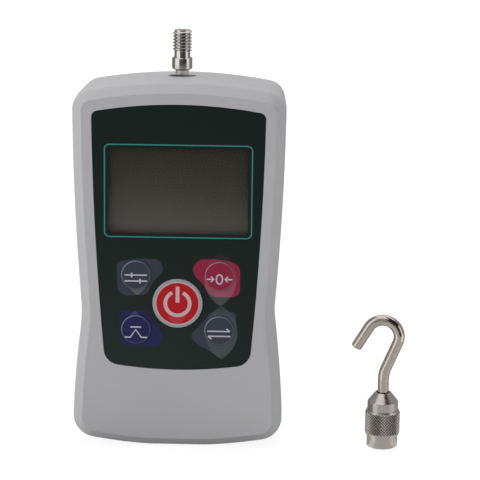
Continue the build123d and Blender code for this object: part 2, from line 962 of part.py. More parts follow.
def data_socket():
    """Flat data socket: a folded steel shell with a contact tongue."""
    low = socket_board_bottom() - data_length
    shell = block(*data_span(), low, socket_board_bottom())
    shell -= block(*data_span(-data_shell), low, socket_board_bottom() - 1.0)
    x_low, x_high, _, _ = data_span(-data_shell)
    return shell + block(
        x_low + 0.8, x_high - 0.8, socket_y - data_tongue / 2, socket_y + data_tongue / 2,
        low + 1.0, socket_board_bottom(),
    )


def socket_board():
    """Narrow board that joins the two sockets, above them."""
    return block(
        -socket_board_half_width, socket_board_half_width,
        socket_y - socket_board_depth / 2, socket_y + socket_board_depth / 2,
        socket_board_bottom(), socket_board_bottom() + socket_board_thickness,
    )


def lead(points, radius):
    """A round lead along straight runs joined by arcs as large as the runs allow."""
    vectors = [Vector(*p) for p in points]
    runs = [(b - a).length for a, b in zip(vectors, vectors[1:])]
    radii = []
    for i in range(1, len(vectors) - 1):
        turn = (vectors[i] - vectors[i - 1]).get_angle(vectors[i + 1] - vectors[i])
        radii.append(0.45 * min(runs[i - 1], runs[i]) / tan(radians(turn / 2)))
    path = FilletPolyline(*points, radius=radii)
    section = Plane(origin=path @ 0, z_dir=path % 0) * Circle(radius)
    return sweep(section, path=path)


def sensor_lead():
    """Lead from the load cell's side to the upper board header."""
    x, z = header_spots()[0]
    start = (-cell_width / 2, 0.0, cell_top - 5.0)
    end = (x, board_back + header_depth / 2, z)
    return lead(
        [start, (x, start[1], start[2]), (x, start[1], z), end], lead_radius
    )


def battery_lead():
    """Lead from the battery tray's end contact to the lower board header."""
    x, z = header_spots()[1]
    top = cell_middle + tray_half_height
    y = cell_depth_position()
    return lead(
        [(x, y, top), (x, y, z), (x, board_back + header_depth / 2, z)], lead_radius
    )


def hook_coupling():
    """Knurled coupling: tapped from below, coned at the top, bored for the rod."""
    knurl_low, knurl_high = lower_land, lower_land + knurl_height
    land_top = knurl_high + upper_land
    body = turned(
        [
            (0, 0), (coupling_radius - coupling_edge, 0), (coupling_radius, coupling_edge),
            (coupling_radius, knurl_low), (knurl_radius - knurl_edge, knurl_low),
            (knurl_radius, knurl_low + knurl_edge), (knurl_radius, knurl_high - knurl_edge),
            (knurl_radius - knurl_edge, knurl_high), (coupling_radius, knurl_high),
            (coupling_radius, land_top), (cone_top_radius, coupling_height), (0, coupling_height),
        ],
        hook_x, hook_y,
    )
    bore = turned(
        [
            (0, 0), (tap_radius + tap_chamfer, 0), (tap_radius, tap_chamfer),
            (tap_radius, tap_depth), (tap_relief_radius, tap_depth),
            (tap_relief_radius, relief_ceiling), (rod_radius + rod_clearance, relief_ceiling),
            (rod_radius + rod_clearance, coupling_height - rod_mouth_depth),
            (rod_mouth_radius, coupling_height), (0, coupling_height),
        ],
        hook_x, hook_y,
    )
    return body - bore


def hook_path():
    """Centreline of the bent rod, in the plane of the hook: stem, slant, bow and tip."""
    slant, tip = radians(hook_slant), radians(hook_tip_angle)
    bow_x, bow_z, bow = hook_bow_x, hook_bow_height, hook_bow_radius
    bow_start = (bow_x + bow * cos(slant), bow_z - bow * sin(slant))
    bow_end = (bow_x - bow * cos(tip), bow_z + bow * sin(tip))
    tip_end = (
        bow_end[0] - hook_tip_length * sin(tip), bow_end[1] - hook_tip_length * cos(tip)
    )
    corner_z = bow_start[1] - bow_start[0] / tan(slant)
    bend_run = hook_stem_bend * tan(slant / 2)
    bend_end = (bend_run * sin(slant), corner_z + bend_run * cos(slant))
    pieces = [
        Line((0, rod_foot), (0, corner_z - bend_run)),
        TangentArc((0, corner_z - bend_run), bend_end, tangent=(0, 1)),
        Line(bend_end, bow_start),
        ThreePointArc(bow_start, (bow_x, bow_z + bow), bow_end),
        Line(bow_end, tip_end),
    ]
    return Wire([edge for piece in pieces for edge in piece.edges()])


def hook_rod():
    """Bent steel rod, with a spigot below for the collar that keeps it in."""
    path = Plane.XZ * hook_path()
    section = Plane(origin=path @ 0, z_dir=path % 0) * Circle(rod_radius)
    rod = sweep(section, path=path)
    tip_rim = rod.edges().filter_by(GeomType.CIRCLE).sort_by_distance(path @ 1)[0]
    rod = chamfer(tip_rim, hook_tip_chamfer)
    rod += rod_z(spigot_radius, rod_foot - rod_collar_height, rod_foot)
    return Pos(hook_x, hook_y, 0) * Rot(0, 0, hook_turn) * rod


def rod_collar():
    """Ring pressed on the rod's spigot, under the coupling's shoulder."""
    low = rod_foot - rod_collar_height
    ring = rod_z(rod_collar_radius, low, rod_foot, hook_x, hook_y)
    return ring - rod_z(spigot_radius, low, rod_foot, hook_x, hook_y)


def write(name, shape):
    """Write one node: a single solid, or a group of separate solids."""
    solids = shape if isinstance(shape, list) else [shape]
    node = Compound(label=name, children=solids) if len(solids) > 1 else solids[0]
    node.label = name
    export_step(node, f"parts/{name}.step")


makers = [
    front_case, rear_case, keypad_overlay, display_window, display_bezel, lcd_glass,
    backlight_panel, elastomer_strip, main_board, board_chips, buzzer, board_headers,
    board_screws, contact_housings, contact_domes, measuring_shaft, shaft_lock_nut,
    guide_bush, shaft_seal, load_cell, strain_gauges, load_cell_bolt, chassis,
    chassis_screws, mount_bushes, amplifier_board, amplifier_spacers, amplifier_screws,
    battery_cells, battery_tray, battery_contacts, tray_screws, charging_jack, data_socket,
    socket_board, case_screws, sensor_lead, battery_lead, hook_coupling, hook_rod, rod_collar,
]

os.makedirs("parts", exist_ok=True)
for maker in makers:
    write(maker.__name__, maker())
for name, x, z, radius in key_spots():
    write(name, key(x, z, radius))
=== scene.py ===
# %% [markdown]
# # A force gauge and its hook, dressed for a render
#
# A force gauge is a small instrument that reads pull and push in newtons. A threaded
# shaft comes out of the top of a waisted plastic case, and attachments such as the hook
# beside it screw on to the shaft. The measured solids already exist, so this lesson adds
# what a drawing office leaves out: real threads, a knurl, printed colours, moulded
# plastic and metal that shines.
#
# The first cell loads those solids as a frame that never moves. Everything after it is
# placed on that frame by the same numbers, so nothing has to be fitted by eye.

# %% Load the measured frame
import json
from math import atan2, cos, hypot, pi, radians, sin

import bmesh
import bpy
from mathutils import Matrix, Quaternion, Vector


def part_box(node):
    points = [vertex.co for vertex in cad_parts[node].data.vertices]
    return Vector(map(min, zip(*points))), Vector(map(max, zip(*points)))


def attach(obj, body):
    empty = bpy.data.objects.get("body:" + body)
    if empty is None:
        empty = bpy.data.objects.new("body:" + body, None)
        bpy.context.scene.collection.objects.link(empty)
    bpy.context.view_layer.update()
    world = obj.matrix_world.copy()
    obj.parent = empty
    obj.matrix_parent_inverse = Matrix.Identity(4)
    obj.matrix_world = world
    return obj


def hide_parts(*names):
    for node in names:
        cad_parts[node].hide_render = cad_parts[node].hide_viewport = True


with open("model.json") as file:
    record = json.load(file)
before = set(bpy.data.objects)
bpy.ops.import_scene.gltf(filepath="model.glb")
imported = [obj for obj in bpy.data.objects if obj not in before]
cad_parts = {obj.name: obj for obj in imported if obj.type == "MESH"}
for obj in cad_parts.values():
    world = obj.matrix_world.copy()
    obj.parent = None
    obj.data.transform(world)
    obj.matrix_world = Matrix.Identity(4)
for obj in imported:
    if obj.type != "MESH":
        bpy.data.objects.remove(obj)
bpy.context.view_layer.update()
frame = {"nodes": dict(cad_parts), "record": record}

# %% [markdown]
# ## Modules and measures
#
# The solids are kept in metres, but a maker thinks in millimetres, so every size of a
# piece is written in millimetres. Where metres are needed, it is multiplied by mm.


mm = 0.001
nodes = frame["nodes"]

# %% [markdown]
# ## Colour
#
# Colours are easiest to choose as the hex values a screen shows. Cycles works in linear
# light, so one function converts them. Two more give a darker tone and a neutral grey.

# %% Colour helpers
def linear(hex_colour):
    """A screen colour such as "B2B2B4" as linear red, green, blue and alpha."""
    parts = [int(hex_colour[i:i + 2], 16) / 255 for i in (0, 2, 4)]
    light = [p / 12.92 if p <= 0.04045 else ((p + 0.055) / 1.055) ** 2.4 for p in parts]
    return light + [1.0]


def scaled(colour, share):
    """A darker linear colour, for the second tone of a finish."""
    return [share * part for part in colour[:3]] + [1.0]


def grey(level):
    """A neutral linear colour."""
    return [level] * 3 + [1.0]


print("B2B2B4 in linear light:", [round(part, 3) for part in linear("B2B2B4")])

# %% [markdown]
# ## Nodes
#
# One function adds a shader node, fills its sockets and makes its links, so a material
# reads as a short list. The size of a noise and the depth of a relief are real ones.

# %% Node helpers
def add(tree, kind, sockets=None, **settings):
    """Add a node. A socket takes a value, an output, or a node for its first output."""
    node = tree.nodes.new("ShaderNode" + kind)
    for name, value in settings.items():
        setattr(node, name, value)
    for name, value in (sockets or {}).items():
        if isinstance(value, bpy.types.Node):
            value = value.outputs[0]
        if isinstance(value, bpy.types.NodeSocket):
            tree.links.new(value, node.inputs[name])
        else:
            node.inputs[name].default_value = value
    return node


def empty_tree(owner):
    """The node tree of a material or a world, with nothing in it yet."""
    owner.use_nodes = True
    owner.node_tree.nodes.clear()
    return owner.node_tree


def new_material(name, roughness, metallic=0.0):
    """A material with its shader, and Object coordinates in metres."""
    material = bpy.data.materials.new(name)
    tree = empty_tree(material)
    shader = add(tree, "BsdfPrincipled", {"Roughness": roughness, "Metallic": metallic})
    add(tree, "OutputMaterial", {"Surface": shader})
    place = add(tree, "TexCoord").outputs["Object"]
    return material, tree, shader, place


def per_metre(size_in_mm):
    """Noise scale whose features are about this many millimetres across."""
    return 1.0 / (size_in_mm * mm)


def bump(tree, shader, height, depth_in_mm):
    """Relief of a real depth, from a height that runs from 0 to 1."""
    relief = add(tree, "Bump", {"Height": height, "Distance": depth_in_mm * mm})
    tree.links.new(relief.outputs[0], shader.inputs["Normal"])


print("noise scale for 1 mm:", per_metre(1))

# %% [markdown]
# ## Piece helpers
#
# Every new piece starts as a bmesh drawn in millimetres. When it is done it is scaled to
# metres, so the object sits at the origin, unturned and unscaled, as the solids do. Each
# piece then rides on one body of the gauge, and may stand in for a solid.

# %% Piece helpers
def object_from(bm, name, materials):
    """Turn a bmesh in metres into an object in the scene."""
    mesh = bpy.data.meshes.new(name)
    bm.to_mesh(mesh)
    bm.free()
    for material in materials:
        mesh.materials.append(material)
    made = bpy.data.objects.new(name, mesh)
    bpy.context.scene.collection.objects.link(made)
    return made


def finish_piece(bm, name, body, materials, replaces=(), smooth_angle=30):
    """Turn a bmesh drawn in millimetres into an object that rides on a body."""
    bmesh.ops.scale(bm, vec=(mm, mm, mm), verts=bm.verts)
    piece = object_from(bm, name, materials)
    piece.data.shade_smooth()
    piece.data.set_sharp_from_angle(angle=radians(smooth_angle))
    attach(piece, body)
    if replaces:
        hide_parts(*replaces)
    print(f"{name}: {len(piece.data.polygons)} faces on {body}")
    return piece


def chain(bm, points):
    """Vertices at the given places, joined in a line."""
    verts = [bm.verts.new(p) for p in points]
    edges = [bm.edges.new(pair) for pair in zip(verts, verts[1:])]
    return verts, edges


def turn_profile(bm, profile, centre=(0.0, 0.0), steps=96):
    """Spin a (radius, height) profile a full turn round a vertical axis."""
    x, y = centre
    verts, edges = chain(bm, [(x + r, y, z) for r, z in profile])
    bmesh.ops.spin(
        bm, geom=verts + edges, cent=(x, y, 0), axis=(0, 0, 1), angle=2 * pi, steps=steps,
        use_merge=True,
    )


def merge_and_turn_out(bm, distance=1e-4):
    """Merge points that coincide, then turn every face outwards."""
    bmesh.ops.remove_doubles(bm, verts=bm.verts, dist=distance)
    bmesh.ops.recalc_face_normals(bm, faces=bm.faces)


print("one drawn unit in metres:", mm)

# %% [markdown]
# ## The camera
#
# The gauge is seen from slightly above and a little to its right, through a long lens
# that keeps its sides nearly parallel. The focal length is worked out in pixels, for a
# view that is 480 pixels wide, and the sensor's width turns it to millimetres. The camera
# is placed first, because everything else is judged through it.

# %% Camera
camera_data = bpy.data.cameras.new("camera")
camera_data.sensor_width = 36.0
focal_length, view_width = 2214.5, 480
camera_data.lens = focal_length / view_width * camera_data.sensor_width
camera = bpy.data.objects.new("camera", camera_data)
bpy.context.scene.collection.objects.link(camera)
bpy.context.scene.camera = camera

heading, dip, roll = radians(-1.194), radians(12.815), radians(0.707)
view_direction = Vector((sin(heading) * cos(dip), cos(heading) * cos(dip), -sin(dip)))
aim_point = Vector((18.79, 0.0, 62.82)) * mm
camera_distance = 706.35 * mm
facing = view_direction.to_track_quat("-Z", "Y") @ Quaternion((0, 0, 1), roll)
standpoint = Matrix.Translation(aim_point - view_direction * camera_distance)
camera.matrix_world = standpoint @ facing.to_matrix().to_4x4()
camera_data.clip_start = 0.05
print("camera at", [round(v, 4) for v in camera.matrix_world.translation])

# %% [markdown]
# ## Grey ABS for the case
#
# The case is injection-moulded ABS. The mould is spark-eroded, which leaves a very fine
# orange-peel grain, so the light spreads softly and no edge of a reflection is sharp.
# Real grain is about 0.1 mm; at this distance that would vanish, so it is drawn at
# 0.35 mm.

# %% Moulded ABS
case_abs, tree, shader, place = new_material("spark_eroded_abs", 0.52)
cloud = add(tree, "TexNoise", {"Vector": place, "Scale": per_metre(28), "Detail": 2.0})
tone = add(tree, "ValToRGB", {"Fac": cloud})
tone.color_ramp.elements[0].position = 0.3
tone.color_ramp.elements[0].color = linear("AFAFB1")
tone.color_ramp.elements[1].position = 0.7
tone.color_ramp.elements[1].color = linear("B3B3B5")
tree.links.new(tone.outputs[0], shader.inputs["Base Color"])
grain = add(tree, "TexNoise", {"Vector": place, "Scale": per_metre(0.35), "Detail": 3.0})
bump(tree, shader, grain, 0.012)
gloss = add(tree, "MapRange", {"Value": grain, "To Min": 0.48, "To Max": 0.6})
tree.links.new(gloss.outputs[0], shader.inputs["Roughness"])
shader.inputs["Specular IOR Level"].default_value = 0.35
print("case plastic ready:", case_abs.name)

# %% [markdown]
# ## Masks for the keypad film
#
# The front is one sheet of polyester, printed on its back and heat-formed into a
# blister over each key. A pale leaf-shaped reflection is painted on the film beside each
# key. It could be a picture laid on the film; a mask that is worked out from the place
# stays sharp at any size. Two overlapping circles make a leaf: a point is inside the leaf
# when it is inside both.

# %% Leaf and ring masks
def away_from(tree, first, second, middle_first, middle_second):
    """The offset from a middle along two axes, and its length."""
    one = add(tree, "Math", {0: first, 1: middle_first * mm}, operation="SUBTRACT")
    other = add(tree, "Math", {0: second, 1: middle_second * mm}, operation="SUBTRACT")
    offset = add(tree, "CombineXYZ", {0: one, 1: other})
    reach = add(tree, "VectorMath", {0: offset}, operation="LENGTH").outputs["Value"]
    return offset, reach


def leaf_mask(tree, x, z, middle_x, middle_z, half_width, half_height):
    """1 inside an upright leaf and 0 outside, with a soft edge."""
    radius = (half_width ** 2 + half_height ** 2) / (2 * half_width)
    masks = []
    for side in (-1, 1):
        circle_x = middle_x + side * (radius - half_width)
        reach = away_from(tree, x, z, circle_x, middle_z)[1]
        masks.append(add(tree, "MapRange", {
            "Value": reach, "From Min": (radius + 0.1) * mm, "From Max": (radius - 0.15) * mm,
        }))
    return add(tree, "Math", {0: masks[0], 1: masks[1]}, operation="MULTIPLY")


def outside_ring(tree, x, z, middle_x, middle_z, radius):
    """1 outside a circle and 0 inside it, with a soft edge."""
    reach = away_from(tree, x, z, middle_x, middle_z)[1]
    return add(tree, "MapRange", {
        "Value": reach, "From Min": (radius - 0.1) * mm, "From Max": (radius + 0.1) * mm,
    })


key_x, upper_row, lower_row = 13.0, 55.9, 38.4
key_places = {
    "set": (-key_x, upper_row), "zero": (key_x, upper_row),
    "peak": (-key_x, lower_row), "unit": (key_x, lower_row),
}
cap_radius = 4.6
power_height, power_radius = 47.0, 7.8
print("small keys at", key_places)

# %% [markdown]
# ## Painted reflection and highlight round one key
#
# Each painted leaf reflection lies a little off its key, and grows from one end to the
# other, so a table holds their places. A painted highlight makes the caps paler in a
# narrow band along their upper left edge, the side the light comes from. One function
# gives both effects, as the share of a paler tone that is mixed into the ink.

# %% Painted reflections and highlights
# Middle x and z, half width and half height, then the heights where it starts and is full.
leaf_places = {
    "set": (-12.6, 55.6, 3.5, 6.2, 53.0, 52.0), "zero": (13.3, 54.9, 5.0, 8.6, 64.5, 50.0),
    "peak": (-13.3, 38.0, 3.5, 6.3, 41.6, 42.4), "unit": (13.7, 37.8, 5.1, 8.6, 54.0, 40.0),
}
highlight_radius, highlight_half_width = 4.45, 0.15


def painted_key_light(tree, x, z, key, strength):
    """The share of painted leaf reflection, and of painted highlight on the cap's upper left edge.
    """
    middle_x, middle_z, half_width, half_height, start, full = leaf_places[key]
    # Painted reflection: a pale leaf beside the key, outside its cap, growing along its height.
    leaf = leaf_mask(tree, x, z, middle_x, middle_z, half_width, half_height)
    grow = add(tree, "MapRange", {
        "Value": z, "From Min": start * mm, "From Max": full * mm, "To Max": strength,
    })
    beyond = outside_ring(tree, x, z, *key_places[key], cap_radius)
    painted_reflection = add(tree, "Math", {0: leaf, 1: beyond}, operation="MULTIPLY")
    painted_reflection = add(tree, "Math", {0: painted_reflection, 1: grow}, operation="MULTIPLY")
    spot, reach = away_from(tree, x, z, *key_places[key])
    # Painted highlight: a thin band at the cap's edge, strongest on the upper left.
    edge = add(tree, "Math", {
        0: reach, 1: highlight_radius * mm, 2: highlight_half_width * mm,
    }, operation="COMPARE")
    aside = add(tree, "VectorMath", {0: spot, 1: (-0.7, 0.7, 0.0)}, operation="DOT_PRODUCT")
    lit_side = add(tree, "MapRange", {
        "Value": aside.outputs["Value"], "From Max": 4.4 * mm, "To Min": 0.17, "To Max": 0.55,
    })
    edge_highlight = add(tree, "Math", {0: edge, 1: lit_side}, operation="MULTIPLY")
    return painted_reflection, edge_highlight


print("leaves:", sorted(leaf_places))

# %% [markdown]
# ## Inks under a satin sheet
#
# Every ink is seen through the same satin polyester, so one function makes all of the
# inks, and only the colours change. Each ink has a tone of its own for the painted leaf
# reflections on it, and all of them take one pale tone for the painted highlight on the
# caps.

# %% Inks
# The pale tone of the painted highlight on the caps' upper left edges.
edge_highlight_tone = "A8ACB4"


def printed_film(name, ink, reflection_tone=None, leaves=(), strength=0.5):
    """One uneven ink, with the painted leaf reflections and edge highlights of its keys."""
    material, tree, shader, place = new_material(name, 0.42)
    fleck = add(tree, "TexNoise", {"Vector": place, "Scale": per_metre(0.5), "Detail": 2.0})
    full = linear(ink)
    thin = scaled(full, 0.86)
    uneven = add(tree, "Mix", {0: fleck, 6: full, 7: thin}, data_type="RGBA")
    colour = uneven.outputs[2]
    axes = add(tree, "SeparateXYZ", {0: place}) if leaves else None
    for key in leaves:
        painted_reflection, edge_highlight = painted_key_light(tree, axes.outputs["X"], axes.outputs["Z"], key, strength)
        # Mix in the painted leaf reflection, then the painted edge highlight.
        for share, tone in ((painted_reflection, reflection_tone), (edge_highlight, edge_highlight_tone)):
            mix = add(tree, "Mix", {0: share, 6: colour, 7: linear(tone)}, data_type="RGBA")
            colour = mix.outputs[2]
    tree.links.new(colour, shader.inputs["Base Color"])
    bump(tree, shader, fleck, 0.004)
    satin = add(tree, "MapRange", {"Value": fleck, "To Min": 0.36, "To Max": 0.5})
    tree.links.new(satin.outputs[0], shader.inputs["Roughness"])
    shader.inputs["Specular IOR Level"].default_value = 0.3
    return material


# The third colour of each ink is the tone of its painted leaf reflection.
film_green = printed_film("film_bottle_green", "0B1F1B", "70787A", tuple(key_places), 0.3)
film_slate_left = printed_film("film_slate_left", "343947", "6C6E70", ("set",), 0.6)
film_slate_right = printed_film("film_slate_right", "343948", "5A6460", ("unit",), 0.35)
film_crimson = printed_film("film_crimson", "911139", "96687A", ("zero",), 0.5)
film_navy = printed_film("film_navy", "171550", "50507E", ("peak",), 0.5)
film_teal = printed_film("film_teal_line", "2C8A7C")
legend_ink = printed_film("legend_ink", "B8B6C4")
print("inks ready:", [m.name for m in bpy.data.materials if m.name.startswith("film")])

# %% [markdown]
# ## The keypad film as one flat sheet
#
# The sheet could be a plain rectangle with a picture on it. Instead each ink area gets
# its own outline in the mesh, so a printed edge stays crisp however close the view is.
# An ink shape starts as a few corner points. Each corner could be drawn as an arc by
# hand, but a vertex bevel rounds all of them at once.

# %% Rounded outlines
def rounded(points, radius, segments=8):
    """A closed outline with every corner rounded."""
    bm = bmesh.new()
    bm.faces.new([bm.verts.new((x, 0, z)) for x, z in points])
    bmesh.ops.bevel(
        bm, geom=list(bm.verts), offset=radius, offset_type="OFFSET", segments=segments,
        profile=0.5, affect="VERTICES", material=-1,
    )
    largest = max(bm.faces, key=lambda face: face.calc_area())
    outline = [(v.co.x, v.co.z) for v in largest.verts]
    bm.free()
    return outline


def rectangle(half_width, half_height, middle_z):
    """The corners of an upright rectangle on the middle line."""
    low, high = middle_z - half_height, middle_z + half_height
    return [(-half_width, low), (half_width, low), (half_width, high), (-half_width, high)]


print("points on a rounded square:", len(rounded(rectangle(5, 5, 0), 1)))

# %% [markdown]
# ## Outlines cut from the solid
#
# The outer edge of the sheet and its holes have to fit the solids round them, so they
# aren't drawn again. A plane cuts the measured film, and the cut is walked edge by edge
# until it closes.

# %% Outlines of the film and its holes
film_front, film_thickness, slice_depth = -20.85, 0.35, -20.7


def sliced_outlines(node, depth):
    """The closed outlines of a solid, cut at one depth, the widest first."""
    bm = bmesh.new()
    bm.from_mesh(nodes[node].data)
    bmesh.ops.scale(bm, vec=(1 / mm, 1 / mm, 1 / mm), verts=bm.verts)
    bmesh.ops.remove_doubles(bm, verts=bm.verts, dist=1e-3)
    everything = list(bm.verts) + list(bm.edges) + list(bm.faces)
    cut = bmesh.ops.bisect_plane(
        bm, geom=everything, plane_co=(0, depth, 0), plane_no=(0, 1, 0)
    )
    left = {e for e in cut["geom_cut"] if isinstance(e, bmesh.types.BMEdge)}
    outlines = []
    while left:
        edge = left.pop()
        start, vert = edge.verts
        outline = [(start.co.x, start.co.z)]
        while vert is not start:
            outline.append((vert.co.x, vert.co.z))
            edge = next(e for e in vert.link_edges if e in left)
            left.discard(edge)
            vert = edge.other_vert(vert)
        outlines.append(outline)
    bm.free()
    return sorted(outlines, key=lambda o: -max(x for x, z in o) + min(x for x, z in o))


film_edge, window_edge, power_edge, *key_edges = sliced_outlines("keypad_overlay", slice_depth)
print("points in the outlines:", len(film_edge), len(window_edge), len(power_edge))

# %% [markdown]
# ## Ink shapes
#
# Each small key sits on a leaf-like patch of its own ink, and a thin teal line frames
# the display. The patches differ, as they were drawn by hand on the film.

# %% Ink shapes
patches = {
    "set": [(-19.0, 59.9), (-12.9, 61.1), (-6.1, 61.1), (-4.5, 58.8), (-4.7, 56.8), (-7.8, 53.7),
            (-9.0, 51.0), (-9.5, 49.6), (-16.9, 49.2), (-18.7, 51.0)],
    "zero": [(6.6, 61.2), (12.4, 61.3), (17.8, 60.3), (19.4, 58.6), (19.4, 50.6), (18.0, 49.3),
             (11.2, 49.1), (9.1, 51.1), (7.7, 53.7), (5.7, 55.3), (4.7, 57.2), (4.7, 58.6)],
    "peak": [(-18.1, 44.1), (-10.5, 44.6), (-8.9, 42.9), (-7.7, 40.7), (-5.5, 38.8), (-4.6, 36.8),
             (-4.8, 34.6), (-5.6, 33.1), (-9.5, 32.9), (-16.0, 33.0), (-17.5, 34.1), (-18.2, 37.1)],
    "unit": [(10.3, 44.4), (18.1, 44.6), (18.3, 41.4), (18.1, 36.3), (13.8, 29.5), (8.4, 32.8),
             (6.5, 33.7), (3.9, 36.3), (6.3, 39.3), (8.3, 41.3)],
}
patch_inks = {"set": 1, "zero": 2, "peak": 3, "unit": 4}
patch_corner = 1.3
display_height, line_width, line_corner = 82.5, 0.39, 1.75
half_wide, half_high = 22.95, 14.7
frame_line = rounded(rectangle(half_wide, half_high, display_height), line_corner)
frame_line_inside = rounded(
    rectangle(half_wide - line_width, half_high - line_width, display_height),
    line_corner - line_width,
)
print("ink shapes:", sorted(patches))

# %% [markdown]
# ## Filling and thickening the film
#
# Triangle fill closes the area between two or more outlines and leaves the inner ones
# open. Each ink is filled on its own with its own material slot. Because neighbouring
# inks share the same edges, the sheet stays in one piece, and a single extrusion gives
# it its real thickness.

# %% Keypad film
def add_outline(bm, points):
    """A closed line through (x, z) points on the front of the film."""
    verts = [bm.verts.new((x, film_front, z)) for x, z in points]
    return [bm.edges.new((a, b)) for a, b in zip(verts, verts[1:] + verts[:1])]


def fill_between(bm, edges, ink):
    """Fill the area that the outlines enclose with one ink."""
    made = bmesh.ops.triangle_fill(bm, use_beauty=True, edges=edges, normal=(0, -1, 0))
    for item in made["geom"]:
        if isinstance(item, bmesh.types.BMFace):
            item.material_index = ink


film = bmesh.new()
edge_of = {"film": add_outline(film, film_edge), "window": add_outline(film, window_edge),
           "power": add_outline(film, power_edge), "line": add_outline(film, frame_line),
           "inside": add_outline(film, frame_line_inside)}
ground = edge_of["film"] + edge_of["line"] + edge_of["power"]
for key, points in patches.items():
    edge_of[key] = add_outline(film, rounded(points, patch_corner, 5))
    ground += edge_of[key]
    x, z = key_places[key]
    hole = min(key_edges, key=lambda o: abs(o[0][0] - x) + abs(o[0][1] - z))
    fill_between(film, edge_of[key] + add_outline(film, hole), patch_inks[key])
fill_between(film, ground, 0)
fill_between(film, edge_of["line"] + edge_of["inside"], 5)
fill_between(film, edge_of["inside"] + edge_of["window"], 0)
back = bmesh.ops.extrude_face_region(film, geom=list(film.faces), use_keep_orig=True)
back_verts = [v for v in back["geom"] if isinstance(v, bmesh.types.BMVert)]
bmesh.ops.translate(film, vec=(0, film_thickness, 0), verts=back_verts)
bmesh.ops.recalc_face_normals(film, faces=film.faces)
inks = [film_green, film_slate_left, film_crimson, film_navy, film_slate_right, film_teal]
keypad = finish_piece(film, "keypad_film", "case", inks, ["keypad_overlay"])

# %% [markdown]
# ## Blister rims
#
# Heat-forming leaves a fine raised rim round every small key. It is a tiny half-round
# section turned about the key's own axis, printed with the same ink as its patch.

# %% Blister rims
rims = bmesh.new()
rim_section = [(4.63, 0.0), (4.63, -0.24), (4.76, -0.3), (4.9, -0.22), (5.02, 0.0)]
for x, z in key_places.values():
    verts, edges = chain(rims, [(x + r, film_front + y, z) for r, y in rim_section])
    edges.append(rims.edges.new((verts[-1], verts[0])))
    bmesh.ops.spin(
        rims, geom=verts + edges, cent=(x, 0, z), axis=(0, 1, 0), angle=2 * pi, steps=64,
        use_merge=True,
    )
merge_and_turn_out(rims)


def nearest_key(point):
    """The small key whose middle is closest to a point."""
    return min(key_places, key=lambda k: (point.xz - Vector(key_places[k])).length)


for face in rims.faces:
    face.material_index = patch_inks[nearest_key(face.calc_center_median())] - 1
rim_inks = [film_slate_left, film_crimson, film_navy, film_slate_right]
key_rims = finish_piece(rims, "key_rims", "case", rim_inks, smooth_angle=60)

# %% [markdown]
# ## Signs on the keys
#
# The keys carry plain signs in place of words: two sliders to set, a nought between
# arrows to clear, a peak under a bar, and arrows to change the unit. Each sign is a curve
# with a round section, turned into a mesh and pressed nearly flat, which is how thick
# screen ink lies.

# %% How a sign is printed
ink_height = 0.008


def arc_points(x, z, radius_x, radius_z, start, end, steps=32):
    """Points along part of an ellipse, between two angles in degrees."""
    angles = [radians(start + (end - start) * i / steps) for i in range(steps + 1)]
    return [(x + radius_x * cos(a), z + radius_z * sin(a)) for a in angles]


def printed_sign(name, body, strokes, width, front, material):
    """Strokes are runs of (x, z) points. They become one flat mesh at depth front."""
    curve = bpy.data.curves.new(name, "CURVE")
    curve.dimensions = "3D"
    curve.bevel_depth = width / 2
    curve.bevel_resolution = 3
    curve.use_fill_caps = True
    for run in strokes:
        spline = curve.splines.new("POLY")
        spline.points.add(len(run) - 1)
        for point, (x, z) in zip(spline.points, run):
            point.co = (x, 0, z, 1)
    source = bpy.data.objects.new(name + "_curve", curve)
    bpy.context.scene.collection.objects.link(source)
    bpy.context.view_layer.update()
    settled = source.evaluated_get(bpy.context.evaluated_depsgraph_get())
    mesh = bpy.data.meshes.new_from_object(settled)
    bpy.data.objects.remove(source)
    bm = bmesh.new()
    bm.from_mesh(mesh)
    bpy.data.meshes.remove(mesh)
    bmesh.ops.scale(bm, vec=(1, 2 * ink_height / width, 1), verts=bm.verts)
    bmesh.ops.translate(bm, vec=(0, front, 0), verts=bm.verts)
    merge_and_turn_out(bm)
    sign = finish_piece(bm, name, body, [material])


print("ink height in mm:", ink_height)

# %% [markdown]
# ## The four small signs
#
# The strokes are given round the middle of each sign, in millimetres, and then moved on
# to the key. Each sign sits a little below the middle of its cap.

# %% Signs on the small keys
cap_front = -21.15
sign_stroke, sign_drop = 0.48, 0.95
signs = {
    "set": [[(-3.5, 0.95), (3.5, 0.95)], [(-3.5, -0.95), (3.5, -0.95)],
            [(-1.3, 1.7), (-1.3, 0.2)], [(1.3, -0.2), (1.3, -1.7)]],
    "zero": [arc_points(0, 0, 0.95, 1.5, 0, 360), [(-4.0, 0), (-1.75, 0)], [(4.0, 0), (1.75, 0)],
             [(-2.6, 0.85), (-1.75, 0), (-2.6, -0.85)], [(2.6, 0.85), (1.75, 0), (2.6, -0.85)]],
    "peak": [[(-3.5, -1.55), (-1.7, -1.55), (0.0, 0.95), (1.7, -1.55), (3.5, -1.55)],
             [(-1.7, 1.75), (1.7, 1.75)]],
    "unit": [[(-3.6, 0.8), (3.4, 0.8)], [(2.3, 1.7), (3.4, 0.8)],
             [(3.6, -0.8), (-3.4, -0.8)], [(-2.3, -1.7), (-3.4, -0.8)]],
}
for key, strokes in signs.items():
    x, z = key_places[key]
    placed = [[(x + px, z - sign_drop + pz) for px, pz in run] for run in strokes]
    printed_sign(
        f"{key}_sign", f"key_{key}", placed, sign_stroke, cap_front, legend_ink
    )
print("signs:", sorted(signs))
